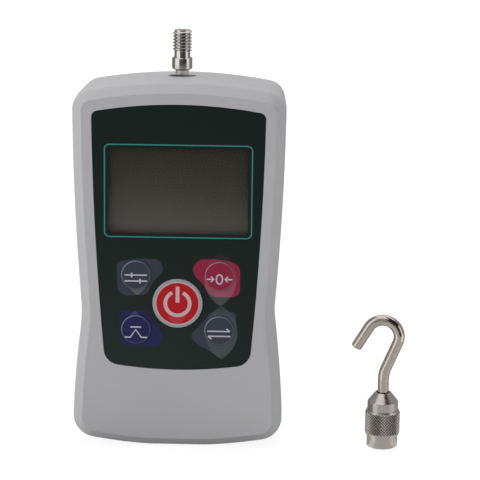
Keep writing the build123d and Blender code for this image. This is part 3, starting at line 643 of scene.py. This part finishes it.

# %% [markdown]
# ## The power key
#
# The power key is one red cap with a pale ring printed at its rim, in three passes of ink
# that overlap. The ring is worked out from the distance to the key's middle, so it is
# sharp and needs no extra mesh. Below the sign a pale leaf-shaped reflection is painted
# on the cap.

# %% Red cap with a ring
power_red, tree, shader, place = new_material("power_cap_red", 0.38)
axes = add(tree, "SeparateXYZ", {0: place})
reach = away_from(tree, axes.outputs["X"], axes.outputs["Z"], 0.0, power_height)[1]
share = add(tree, "MapRange", {"Value": reach, "From Max": power_radius * mm})
bands = add(tree, "ValToRGB", {"Fac": share})
bands.color_ramp.interpolation = "CONSTANT"
bands.color_ramp.elements[0].color = linear("AF0812")
bands.color_ramp.elements[1].position = 6.58 / power_radius
bands.color_ramp.elements[1].color = linear("B0A4AA")
for radius, tone in ((6.98, "96949A"), (7.5, "A2A0A4")):
    bands.color_ramp.elements.new(radius / power_radius).color = linear(tone)
# Painted reflection: a pale leaf below the sign, mixed into the red.
tip = leaf_mask(tree, axes.outputs["X"], axes.outputs["Z"], -0.2, 46.2, 3.9, 5.9)
below = add(tree, "MapRange", {
    "Value": axes.outputs["Z"], "From Min": 43.2 * mm, "From Max": 42.6 * mm, "To Max": 0.35,
})
painted_reflection = add(tree, "Math", {0: tip, 1: below}, operation="MULTIPLY")
cap_tone = add(tree, "Mix", {
    0: painted_reflection, 6: bands, 7: linear("B05058"),
}, data_type="RGBA")
tree.links.new(cap_tone.outputs[2], shader.inputs["Base Color"])
fleck = add(tree, "TexNoise", {"Vector": place, "Scale": per_metre(0.5), "Detail": 2.0})
bump(tree, shader, fleck, 0.004)
shader.inputs["Specular IOR Level"].default_value = 0.2
print("cap ready:", power_red.name)

# %% [markdown]
# ## The power sign
#
# A ring that is open at the top and a bar in the gap is the common sign for on and off.
# It is the same kind of printed curve as the other signs, with a wider stroke.

# %% Sign on the power key
ring_radius, power_stroke = 3.8, 1.2
ring = arc_points(0, power_height, ring_radius, ring_radius, 116, 424, 48)
bar = [(0.0, power_height + 0.3), (0.0, power_height + 5.4)]
power_ink = printed_film("power_ink", "CCABB3")
printed_sign(
    "power_sign", "key_power", [ring, bar], power_stroke, cap_front, power_ink
)

# %% [markdown]
# ## The display
#
# A switched-off liquid-crystal display is an olive-grey that darkens where the bezel
# shades it. The shade is a fixed tone that grows towards the top and a little towards the
# right, worked out from the place on the glass.

# %% Display glass
glass_foot, glass_head, glass_side = 69.0, 96.0, 22.0
lcd, tree, shader, place = new_material("reflective_lcd", 0.45)
axes = add(tree, "SeparateXYZ", {0: place})
rise = add(tree, "MapRange", {
    "Value": axes.outputs["Z"], "From Min": glass_foot * mm, "From Max": glass_head * mm,
})
slope = add(tree, "MapRange", {
    "Value": axes.outputs["X"], "From Min": -glass_side * mm, "From Max": glass_side * mm,
    "To Max": 0.16,
})
shade = add(tree, "Math", {0: rise, 1: slope}, operation="ADD")
ramp = add(tree, "ValToRGB", {"Fac": shade})
ramp.color_ramp.elements[0].color = linear("68645E")
ramp.color_ramp.elements[1].color = linear("34332A")
ramp.color_ramp.elements.new(0.6).color = linear("44423B")
tree.links.new(ramp.outputs[0], shader.inputs["Base Color"])
haze = add(tree, "TexNoise", {"Vector": place, "Scale": per_metre(0.4), "Detail": 2.0})
bump(tree, shader, haze, 0.003)
shader.inputs["Specular IOR Level"].default_value = 0.2
print("display glass ready:", lcd.name)

# %% [markdown]
# ## The display window
#
# The window is cast acrylic. Real glass nodes would make the picture noisy behind such a
# thin sheet, so the window is nearly transparent instead, with the index of refraction
# and the fine scuffs of acrylic on its surface.

# %% Window
acrylic, tree, shader, place = new_material("clear_acrylic", 0.12)
shader.inputs["IOR"].default_value = 1.49
shader.inputs["Alpha"].default_value = 0.1
shader.inputs["Base Color"].default_value = linear("3A3A36")
scuff = add(tree, "TexNoise", {"Vector": place, "Scale": per_metre(3), "Detail": 4.0})
wear = add(tree, "MapRange", {"Value": scuff, "To Min": 0.1, "To Max": 0.2})
tree.links.new(wear.outputs[0], shader.inputs["Roughness"])
print("window ready:", acrylic.name)

# %% [markdown]
# ## Turned metal
#
# The shaft and the coupling are turned on a lathe, so fine rings run round them and
# draw a reflection out across the rings. The tool marks are 0.1 mm apart or less; they
# are drawn at 0.25 mm so that they show. Drawn wire and plated sheet have no rings. Each
# metal is one colour, a little clouded in its tone and its roughness.

# %% Metals
bands_per_metre = 3.18  # what the wave texture draws at a scale of 1


def turned_metal(name, hex_colour, roughness, ring_mm=0.25, ring_depth=0.003):
    """A metal with 4 mm clouds and, unless the depth is 0, rings left by the tool."""
    material, tree, shader, place = new_material(name, roughness, 1.0)
    cloud = add(tree, "TexNoise", {"Vector": place, "Scale": per_metre(4.0), "Detail": 3.0})
    polish = add(tree, "MapRange", {
        "Value": cloud, "To Min": roughness * 0.8, "To Max": roughness * 1.25,
    })
    tree.links.new(polish.outputs[0], shader.inputs["Roughness"])
    bright = linear(hex_colour)
    dull = scaled(bright, 0.9)
    mix = add(tree, "Mix", {0: cloud, 6: bright, 7: dull}, data_type="RGBA")
    tree.links.new(mix.outputs[2], shader.inputs["Base Color"])
    if ring_depth:
        rings = add(tree, "TexWave", {
            "Vector": place, "Scale": per_metre(ring_mm) / bands_per_metre,
        }, wave_type="BANDS", bands_direction="Z", wave_profile="SIN")
        bump(tree, shader, rings, ring_depth)
    return material


stud_steel = turned_metal("turned_nickel_steel", "DCD8D4", 0.12)
coupling_steel = turned_metal("turned_coupling_steel", "D2CCC6", 0.24)
rod_steel = turned_metal("drawn_polished_wire", "D5CBC1", 0.07, ring_depth=0)
zinc_steel = turned_metal("zinc_plated_steel", "B9BCC0", 0.32, ring_depth=0)
brass = turned_metal("turned_brass", "C9A45A", 0.25)
aluminium = turned_metal("milled_aluminium", "C4C6C8", 0.35, ring_mm=0.5)
dark_screw_steel = turned_metal("black_oxide_steel", "3C3D40", 0.35, ring_depth=0)
foil = turned_metal("constantan_foil", "B08A5A", 0.3, ring_mm=0.3)
print("metals ready, from", stud_steel.name, "to", foil.name)

# %% [markdown]
# ## The measuring shaft with its thread
#
# The shaft is turned: a neck, a collar with a bevelled lower edge, a plain relief and
# an M6 thread with a 1 mm pitch. The plain part is one profile spun round the axis. It
# reaches a little way into the thread, so that no gap opens between them.

# %% Shaft up to the thread
pitch = 1.0
thread_low, root_radius, crest_radius = 123.354, 2.42, 3.0
neck_radius, collar_radius, relief_radius = 2.1, 3.2, 2.5
collar_low, collar_high, shaft_foot_height = 117.354, 121.254, 96.0

shaft = bmesh.new()
turn_profile(shaft, [
    (0, shaft_foot_height), (neck_radius - 0.1, shaft_foot_height),
    (neck_radius, shaft_foot_height + 0.1), (neck_radius, collar_low),
    (neck_radius + 0.35, collar_low), (collar_radius, collar_low + 0.446),
    (collar_radius, collar_high - 0.15), (collar_radius - 0.15, collar_high),
    (relief_radius, collar_high), (relief_radius, thread_low + 0.1), (0, thread_low + 0.1),
])
merge_and_turn_out(shaft)
print("faces on the plain part:", len(shaft.faces))

# %% [markdown]
# ## The thread
#
# Rings side by side would look like a thread from afar, but their crests don't climb.
# Here one pitch of the section rises by a pitch in each turn, which is what spin does
# when it also moves along its axis. Two planes trim the spiral flat, and the points
# near the tip are drawn in to a cone, as a die starts on a chamfered rod.

# %% Thread
crest_half, root_half, cone_slope = 0.09, 0.06, 1.15


def thread(bm, low, tip, flat_radius):
    """A right-handed thread between two heights, with a coned tip."""
    spiral = bmesh.new()
    half = pitch / 2
    section = [(root_radius, -half), (root_radius, -half + root_half),
               (crest_radius, -crest_half), (crest_radius, crest_half),
               (root_radius, half - root_half), (root_radius, half)]
    turns = int((tip - low) / pitch) + 3
    verts, edges = chain(spiral, [(r, 0, low - pitch + z) for r, z in section])
    steps = 72
    bmesh.ops.spin(
        spiral, geom=verts + edges, cent=(0, 0, 0), axis=(0, 0, 1), angle=2 * pi * turns,
        dvec=(0, 0, pitch / steps), steps=steps * turns,
    )
    bmesh.ops.remove_doubles(spiral, verts=spiral.verts, dist=2e-3)
    for height, side in ((low, -1), (tip, 1)):
        everything = list(spiral.verts) + list(spiral.edges) + list(spiral.faces)
        bmesh.ops.bisect_plane(
            spiral, geom=everything, plane_co=(0, 0, height), plane_no=(0, 0, side),
            clear_outer=True,
        )
        open_edges = [e for e in spiral.edges if e.is_boundary]
        rim = [e for e in open_edges if abs(e.verts[0].co.z - height) < 1e-3]
        bmesh.ops.edgeloop_fill(spiral, edges=rim)
    bmesh.ops.remove_doubles(spiral, verts=spiral.verts, dist=2e-3)
    for vert in spiral.verts:
        reach = hypot(vert.co.x, vert.co.y)
        limit = flat_radius + (tip - vert.co.z) * cone_slope
        if reach > limit:
            vert.co.x *= limit / reach
            vert.co.y *= limit / reach
    bmesh.ops.recalc_face_normals(spiral, faces=spiral.faces)
    print("open edges on the thread:", sum(e.is_boundary for e in spiral.edges))
    mesh = bpy.data.meshes.new("thread")
    spiral.to_mesh(mesh)
    spiral.free()
    bm.from_mesh(mesh)
    bpy.data.meshes.remove(mesh)


tip_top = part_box("measuring_shaft")[1].z / mm
thread(shaft, thread_low, tip_top, root_radius)
stud = finish_piece(shaft, "threaded_shaft", "shaft", [stud_steel], ["measuring_shaft"])

# %% [markdown]
# ## The knurled coupling
#
# The hook screws on with a turned coupling: a lower land, a knurled grip, an upper land
# and a cone. Its axis, height and largest radius are read from the measured solid. The
# other sizes are named once, for the next three steps.

# %% Sizes of the coupling
box_low, box_high = (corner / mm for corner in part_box("hook_coupling"))
coupling_x, coupling_y = (box_low.x + box_high.x) / 2, (box_low.y + box_high.y) / 2
knurl_radius, land_radius = (box_high.x - box_low.x) / 2, 4.85
cone_top, cone_base, knurl_top, knurl_foot = box_high.z, 14.8, 11.95, 3.95
edge, knurl_depth = 0.35, 0.28
knurl_low, knurl_high = knurl_foot + edge, knurl_top - edge
valley_radius = knurl_radius - knurl_depth
columns, rows = 72, 15
axis = (coupling_x, coupling_y)
print("coupling axis at", [round(value, 3) for value in axis], "radius", round(knurl_radius, 3))

# %% [markdown]
# ## Steel that is darker in the knurl's grooves
#
# The knurl is painted darker in its grooves and paler on its points. A noise would not
# keep to the grooves. The distance from the coupling's axis does: it is small in a groove
# and large on a point.

# %% Knurled steel
knurled_steel, tree, shader, place = new_material("knurled_steel", 0.32, 1.0)
axes = add(tree, "SeparateXYZ", {0: place})
reach = away_from(tree, axes.outputs["X"], axes.outputs["Y"], *axis)[1]
raised = add(tree, "MapRange", {
    "Value": reach, "From Min": valley_radius * mm, "From Max": knurl_radius * mm,
})
# Darker in the grooves and paler on the points, by the distance from the axis.
groove_darkening = add(tree, "ValToRGB", {"Fac": raised})
groove_darkening.color_ramp.elements[0].position = 0.06
groove_darkening.color_ramp.elements[0].color = linear("47423F")
groove_darkening.color_ramp.elements[1].position = 0.42
groove_darkening.color_ramp.elements[1].color = linear("D4CEC8")
tree.links.new(groove_darkening.outputs[0], shader.inputs["Base Color"])
cloud = add(tree, "TexNoise", {"Vector": place, "Scale": per_metre(2), "Detail": 3.0})
polish = add(tree, "MapRange", {"Value": cloud, "To Min": 0.26, "To Max": 0.4})
tree.links.new(polish.outputs[0], shader.inputs["Roughness"])
print("metal ready:", knurled_steel.name)

# %% [markdown]
# ## The turned parts of the coupling
#
# Three profiles are spun round the coupling's axis: the lower land, everything above the
# knurl with the mouth that the rod comes out of, and the tapped bore. They take as many
# steps as the knurl has columns, so that all of their points meet.

# %% Lands, cone and bore
tip_radius, mouth_radius, hole_radius, tapped_radius = 2.55, 2.3, 1.95, 2.5
mouth_floor, hole_floor = cone_top - 0.6, cone_top - 3.0
foot = [(land_radius - edge, 0.0), (land_radius, edge), (land_radius, knurl_foot),
        (knurl_radius - edge, knurl_foot), (valley_radius, knurl_low)]
head = [(valley_radius, knurl_high), (knurl_radius - edge, knurl_top),
        (land_radius, knurl_top), (land_radius, cone_base), (tip_radius, cone_top),
        (mouth_radius, cone_top), (mouth_radius, mouth_floor), (hole_radius, mouth_floor),
        (hole_radius, hole_floor), (0.0, hole_floor)]
bore = [(land_radius - edge, 0.0), (tapped_radius + 0.4, 0.0), (tapped_radius, 0.5),
        (tapped_radius, 9.0), (0.0, 9.6)]
coupling = bmesh.new()
for profile in (foot, head, bore):
    turn_profile(coupling, profile, axis, columns)
bmesh.ops.remove_doubles(coupling, verts=coupling.verts, dist=1e-4)
print("faces on the turned parts:", len(coupling.faces))

# %% [markdown]
# ## The diamond knurl
#
# A knurl can be faked with a bump, but its silhouette then stays smooth. Here the grip
# is a fine lattice: every second point is pushed in, and joining the pushed points
# across each square turns the squares into small pyramids. A finer knurl is as easy to
# make, but its points would be too small to show.

# %% Knurl
row_height = (knurl_high - knurl_low) / rows
turn_profile(
    coupling, [(knurl_radius, knurl_low + i * row_height) for i in range(rows + 1)], axis, columns
)
valleys = []
for vert in coupling.verts:
    away = Vector((vert.co.x - coupling_x, vert.co.y - coupling_y))
    if abs(away.length - knurl_radius) > 1e-3:
        continue
    column = round(atan2(away.y, away.x) / (2 * pi) * columns)
    row = round((vert.co.z - knurl_low) / row_height)
    if row in (0, rows) or (column + row) % 2 == 0:
        sunk = away * valley_radius / away.length
        vert.co.x, vert.co.y = coupling_x + sunk.x, coupling_y + sunk.y
        valleys.append(vert)
bmesh.ops.connect_verts(coupling, verts=valleys)
merge_and_turn_out(coupling, 1e-3)
for face in coupling.faces:
    reaches = [hypot(v.co.x - coupling_x, v.co.y - coupling_y) for v in face.verts]
    if max(reaches) > knurl_radius - 0.01:
        face.material_index = 1
print("open edges on the coupling:", sum(e.is_boundary for e in coupling.edges))
metals = [coupling_steel, knurled_steel]
knurled = finish_piece(coupling, "knurled_coupling", "coupling", metals, ["hook_coupling"], 25)

# %% [markdown]
# ## Plastics, board and rubber
#
# The parts inside are never seen in a closed gauge, but anyone who opens the model will
# look at them. They share two recipes: moulded plastic or rubber with a fine grain, and
# a circuit board whose lacquer shows the copper tracks under it.

# %% Plastic and board
def moulded(name, hex_colour, roughness):
    """Plastic or rubber with a 0.4 mm grain in its tone and its relief."""
    material, tree, shader, place = new_material(name, roughness)
    grain = add(tree, "TexNoise", {"Vector": place, "Scale": per_metre(0.4), "Detail": 2.0})
    full = linear(hex_colour)
    shade = scaled(full, 0.92)
    mix = add(tree, "Mix", {0: grain, 6: full, 7: shade}, data_type="RGBA")
    tree.links.new(mix.outputs[2], shader.inputs["Base Color"])
    bump(tree, shader, grain, 0.008)
    return material


def circuit_board(name):
    """Green lacquer over square copper tracks about 1 mm apart."""
    material, tree, shader, place = new_material(name, 0.3)
    upright_place = add(tree, "Mapping", {"Vector": place, "Rotation": (pi / 2, 0, 0)})
    tracks = add(tree, "TexBrick", {
        "Vector": upright_place, "Scale": per_metre(8), "Mortar Size": 0.02,
        "Mortar Smooth": 0.3, "Color1": linear("1E5A36"), "Color2": linear("1A5030"),
        "Mortar": linear("2F7A46"),
    })
    tree.links.new(tracks.outputs["Color"], shader.inputs["Base Color"])
    bump(tree, shader, tracks.outputs["Fac"], 0.03)
    return material


board_finish = circuit_board("lacquered_board")
print("board ready:", board_finish.name)

# %% [markdown]
# ## A finish for every slot
#
# The record puts each solid in a material slot, such as brass or chip_black. This table
# gives every slot its finish.

# %% Finishes
slot_finish = {
    "case_plastic": case_abs,
    "keypad_film": film_green,
    "window_acrylic": acrylic,
    "lcd_glass": lcd,
    "backlight": moulded("milky_acrylic", "D8D8D2", 0.35),
    "zebra_rubber": moulded("layered_rubber", "55524E", 0.7),
    "zinc_steel": zinc_steel,
    "circuit_board": board_finish,
    "chip_black": moulded("epoxy_black", "232325", 0.55),
    "buzzer_black": moulded("buzzer_plastic", "1B1B1D", 0.4),
    "header_white": moulded("nylon_white", "D6D2C6", 0.45),
    "nickel_steel": stud_steel,
    "polished_steel": rod_steel,
    "brass": brass,
    "seal_rubber": moulded("nitrile_rubber", "1C1C1C", 0.75),
    "beam_aluminium": aluminium,
    "gauge_foil": foil,
    "dark_screw": dark_screw_steel,
    "cell_wrap": moulded("cell_sleeve", "2F6B4A", 0.35),
    "tray_black": moulded("tray_plastic", "26272A", 0.5),
    "jack_black": moulded("jack_plastic", "1E1E20", 0.42),
    "lead_grey": moulded("lead_sleeve", "8B8C8E", 0.5),
    "lead_red": moulded("red_wire_sleeve", "A32A26", 0.45),
    "key_slate": film_slate_left,
    "key_crimson": film_crimson,
    "key_navy": film_navy,
    "key_red": power_red,
}
print("finishes:", len(slot_finish))

# %% [markdown]
# ## Dressing the measured solids
#
# One loop hands each solid the finish of its slot. The unit key is the one exception: it
# takes the slate of the patch round it, whose painted leaf reflection has a tone of its own.

# %% Dress the solids
slot_of_node = {part["node"]: part["material_slot"] for part in frame["record"]["subparts"]}
for name, node in nodes.items():
    finish = film_slate_right if name == "key_unit" else slot_finish[slot_of_node[name]]
    node.data.materials.clear()
    node.data.materials.append(finish)
print("dressed", len(nodes), "solids")

# %% [markdown]
# ## Floor and background
#
# The floor is a plain pale sheet that runs far behind the gauge. To the camera, and in
# reflections, it is bright enough to be white while still taking the gauge's shadow. For
# the light that bounces up on to the gauge it is ordinary white paper, which fills the
# bevel along the bottom edge.

# %% Floor
def by_ray(tree, soft, seen):
    """One shader for soft light, and another for the camera, mirrors and glass."""
    path = add(tree, "LightPath")
    share = path.outputs["Is Camera Ray"]
    for other in ("Is Glossy Ray", "Is Transmission Ray"):
        share = add(tree, "Math", {0: share, 1: path.outputs[other]}, operation="MAXIMUM")
    return add(tree, "MixShader", {0: share, 1: soft, 2: seen})


floor_paper = bpy.data.materials.new("floor_paper")
tree = empty_tree(floor_paper)
bounce = add(tree, "BsdfDiffuse", {"Color": grey(0.86)})
pale = add(tree, "BsdfDiffuse", {"Color": grey(0.2)})
glow = add(tree, "Emission", {"Color": grey(1.0), "Strength": 0.88})
shown = add(tree, "AddShader", {0: pale, 1: glow})
add(tree, "OutputMaterial", {"Surface": by_ray(tree, bounce, shown)})

floor_radius = 4.0
disc = bmesh.new()
bmesh.ops.create_circle(disc, cap_ends=True, segments=64, radius=floor_radius)
floor = object_from(disc, "floor", [floor_paper])
print("floor radius in metres:", floor_radius)

# %% [markdown]
# ## Light
#
# A plain, even surround gives soft light from every side, as in a light tent. One wide
# soft lamp on the left makes that side a little brighter, and one overhead does the
# same for the top.

# %% Surround and lamps
world = bpy.data.worlds.new("tent")
bpy.context.scene.world = world
tree = empty_tree(world)
ambient = add(tree, "Background", {"Color": grey(1.0), "Strength": 0.6})
white = add(tree, "Background", {"Color": grey(1.0), "Strength": 1.0})
add(tree, "OutputWorld", {"Surface": by_ray(tree, ambient, white)})


def softbox(name, place, aim, side, power):
    """A square soft lamp that reflections don't see."""
    data = bpy.data.lights.new(name, "AREA")
    data.shape = "SQUARE"
    data.size = side
    data.energy = power
    lamp = bpy.data.objects.new(name, data)
    bpy.context.scene.collection.objects.link(lamp)
    turn = (aim - place).to_track_quat("-Z", "Y")
    lamp.matrix_world = Matrix.Translation(place) @ turn.to_matrix().to_4x4()
    lamp.visible_glossy = False


middle = Vector((0.02, 0.0, 0.06))
softbox("left_softbox", Vector((-1.9, -0.5, 0.6)), middle, 1.0, 15.5)
softbox("top_softbox", Vector((0.0, 0.6, 2.4)), middle, 1.2, 26.5)
print("lamps:", [lamp.name for lamp in bpy.data.lights])

# %% [markdown]
# ## Cards for the metal
#
# Polished steel has no tone of its own; it shows what stands round it. Seen from above,
# an upright surface mirrors the floor in front of it, so most of the cards lie flat: a
# dark one far in front for the shaft and the film, and grey ones close to the hook. The
# lower a part of the coupling is, the nearer the floor that it mirrors, so the foot, the
# land and the rod each have sheets of their own reach. A few cards stand upright far off,
# and one hangs over the hook for the dark stripe in its bow. Only reflections see them.

# %% Card helper
warm_white = (1.0, 0.98, 0.96, 1.0)


def card(name, middle, bearings, edge_line, level):
    """A card swept between two bearings, in degrees to the right of the camera."""
    bm = bmesh.new()
    start, end = bearings
    bearing = radians(start) - pi / 2
    across, along = cos(bearing), sin(bearing)
    x, y = middle
    verts, edges = chain(bm, [(x + r * across, y + r * along, z) for r, z in edge_line])
    bmesh.ops.spin(
        bm, geom=verts + edges, cent=(x, y, 0), axis=(0, 0, 1), angle=radians(end - start),
        steps=24,
    )
    paper = bpy.data.materials.new(name)
    tree = empty_tree(paper)
    glow = add(tree, "Emission", {"Color": warm_white, "Strength": level})
    add(tree, "OutputMaterial", {"Surface": glow})
    board = object_from(bm, name, [paper])
    for ray in ("camera", "diffuse", "transmission", "volume_scatter", "shadow"):
        setattr(board, "visible_" + ray, False)
    return board


shaft_foot, hook_foot = (0.0, 0.0), (coupling_x * mm, coupling_y * mm)
print("cards stand round", shaft_foot, "and", hook_foot)

# %% [markdown]
# ## Placing the cards
#
# A card's edge is a short run of (distance, height) points in metres, and its level is
# the grey that it shows, where 1 is white.

# %% Reflector cards
far_sheet = [(0.15, 0.0002), (1.6, 0.0002)]
near_sheet, short_sheet, land_sheet, foot_sheet = [
    [(0.0045, 0.0001), (0.008, height), (reach, height)]
    for reach, height in ((0.29, 0.0006), (0.165, 0.0006), (0.075, 0.0005), (0.022, 0.0007))
]
upright = [(1.2, 0.02), (1.2, 1.4)]
cards = [
    card("dark_sheet", shaft_foot, (-31, 56), far_sheet, 0.05),
    card("side_sheet_left", shaft_foot, (-180, -85), far_sheet, 0.21),
    card("side_sheet_right", shaft_foot, (88, 180), far_sheet, 0.26),
    card("grey_sheet_hook", hook_foot, (-42, 2), near_sheet, 0.52),
    card("grey_sheet_hook_front", hook_foot, (2, 48), short_sheet, 0.52),
    card("grey_sheet_hook_left", hook_foot, (-180, -78), near_sheet, 0.2),
    card("grey_sheet_hook_right", hook_foot, (95, 180), near_sheet, 0.37),
    card("land_sheet_left", hook_foot, (-78, -42), land_sheet, 0.78),
    card("land_sheet_right", hook_foot, (48, 95), land_sheet, 0.62),
    card("foot_sheet_left", hook_foot, (-78, -42), foot_sheet, 0.8),
    card("foot_sheet_right", hook_foot, (48, 95), foot_sheet, 0.7),
    card("foot_sheet_back", hook_foot, (95, 282), foot_sheet, 0.45),
    card("dark_card", shaft_foot, (2, 48), upright, 0.04),
    card("dim_card", shaft_foot, (-33, 2), upright, 0.35),
    card("overhead_strip", hook_foot, (20, 74), [(0.55, 0.3), (0.2, 1.6)], 0.02),
    card("grey_card_right", shaft_foot, (74, 150), upright, 0.35),
    card("grey_card_left", shaft_foot, (-150, -74), upright, 0.2),
    card("grey_card_back", shaft_foot, (150, 210), [(1.2, 0.02), (1.2, 0.9)], 0.42),
]
print("cards:", [c.name for c in cards])

# %% [markdown]
# ## Picture settings
#
# The Standard view shows each colour about as it is written. The default view would
# soften the highlights and grey the white floor.

# %% Picture settings
bpy.context.scene.view_settings.view_transform = "Standard"
print("view:", bpy.context.scene.view_settings.view_transform)
